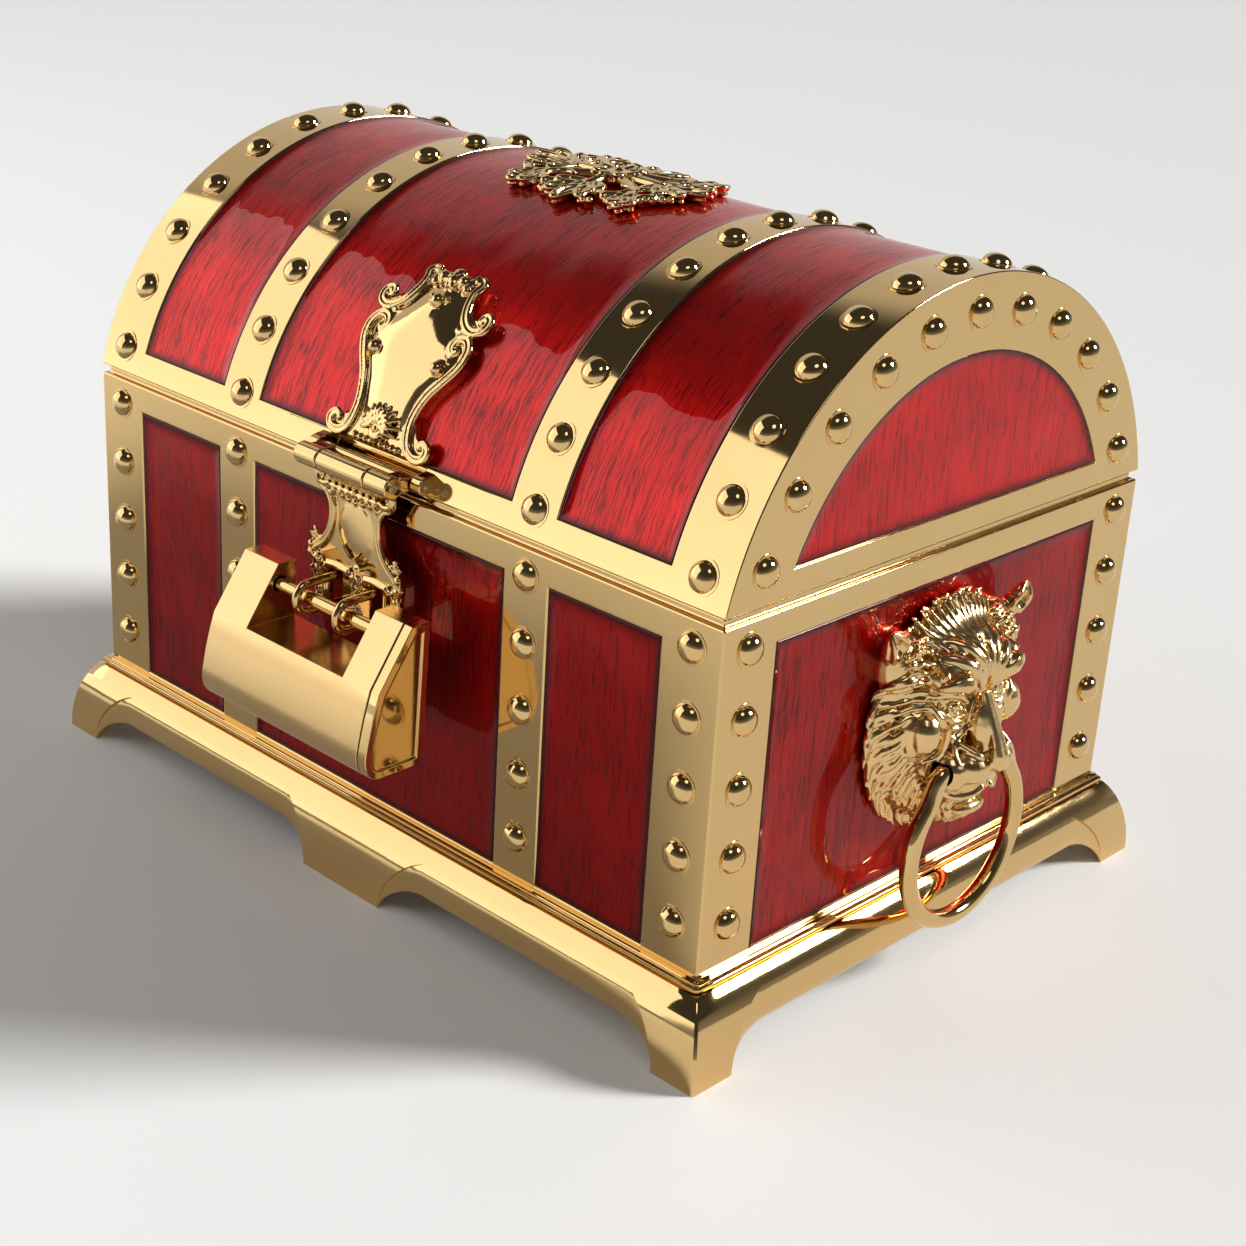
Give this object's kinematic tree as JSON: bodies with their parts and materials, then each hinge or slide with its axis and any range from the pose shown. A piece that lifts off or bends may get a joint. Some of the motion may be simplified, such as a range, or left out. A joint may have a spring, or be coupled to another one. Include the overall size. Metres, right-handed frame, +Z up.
{
  "type": "storage box",
  "caption": "Small barrel-lidded treasure chest of gilt cast metal with red enamel panels, hasp, bar padlock and lion-head ring pulls, for keepsakes.",
  "frame": {"origin": "under the middle of the whole chest, padlock included, on the surface it stands on", "axes": "+X along the chest to its right end seen from the front, +Y to the back where the hinges are, +Z up"},
  "size_m": [0.2068, 0.1484, 0.1324],
  "materials": {
    "gilt": "polished pale gold plate on a cast shell",
    "enamel": "clear glossy red enamel over a finely brushed ground",
    "velvet": "short dark red flock lining",
    "flock": "black flocked board",
    "steel": "bright steel pins, screws and spring"
  },
  "bodies": {
    "root": {"plinth": "gilt", "base_pad": "flock", "plinth_screw_1": "steel", "plinth_screw_2": "steel", "plinth_screw_3": "steel", "plinth_screw_4": "steel", "tub": "gilt", "enamel_front_left": "enamel", "enamel_front_centre": "enamel", "enamel_front_right": "enamel", "enamel_back_left": "enamel", "enamel_back_centre": "enamel", "enamel_back_right": "enamel", "enamel_end_right": "enamel", "enamel_end_left": "enamel", "tub_lining": "velvet", "hinge_base_leaf_right": "gilt", "hinge_base_leaf_left": "gilt", "hinge_pin_right": "steel", "hinge_pin_left": "steel", "staple_loop_right": "gilt", "staple_loop_left": "gilt", "lion_head_right": "gilt", "lion_head_left": "gilt"},
    "lid": {"lid": "gilt", "enamel_lid_left": "enamel", "enamel_lid_centre": "enamel", "enamel_lid_right": "enamel", "enamel_lid_end_right": "enamel", "enamel_lid_end_left": "enamel", "lid_lining": "velvet", "cartouche": "gilt", "lid_crest": "gilt", "hinge_lid_leaf_right": "gilt", "hinge_lid_leaf_left": "gilt", "hasp_back_pin": "steel"},
    "hasp_link": {"hasp_link": "gilt", "hasp_front_pin": "steel"},
    "hasp_strap": {"hasp_strap": "gilt"},
    "padlock": {"padlock_body": "gilt"},
    "shackle": {"padlock_shackle": "gilt", "padlock_spring": "steel"},
    "ring_right": {"ring_pull_right": "gilt"},
    "ring_left": {"ring_pull_left": "gilt"}
  },
  "joints": [
    {"name": "lid_hinge", "type": "hinge", "parent": "root", "child": "lid", "pos_m": [0, 0.07005, 0.0819], "axis": [-1, 0, 0], "range_deg": [0, 100]},
    {"name": "hasp_link_hinge", "type": "hinge", "parent": "lid", "child": "hasp_link", "pos_m": [0, -0.05405, 0.085], "axis": [-1, 0, 0], "range_deg": [-1, 5]},
    {"name": "hasp_strap_hinge", "type": "hinge", "parent": "hasp_link", "child": "hasp_strap", "pos_m": [0, -0.05915, 0.085], "axis": [-1, 0, 0], "range_deg": [-1.5, 5]},
    {"name": "padlock_swing", "type": "hinge", "parent": "root", "child": "padlock", "pos_m": [0, -0.06335, 0.0595], "axis": [-1, 0, 0], "range_deg": [-10, 75]},
    {"name": "shackle_slide", "type": "slide", "parent": "padlock", "child": "shackle", "axis": [1, 0, 0], "range_m": [0, 0.033]},
    {"name": "ring_right_swing", "type": "hinge", "parent": "root", "child": "ring_right", "pos_m": [0.0958, 0.0071, 0.0432], "axis": [0, -1, 0], "range_deg": [-3, 90]},
    {"name": "ring_left_swing", "type": "hinge", "parent": "root", "child": "ring_left", "pos_m": [-0.0958, 0.0071, 0.0432], "axis": [0, 1, 0], "range_deg": [-3, 90]}
  ]
}
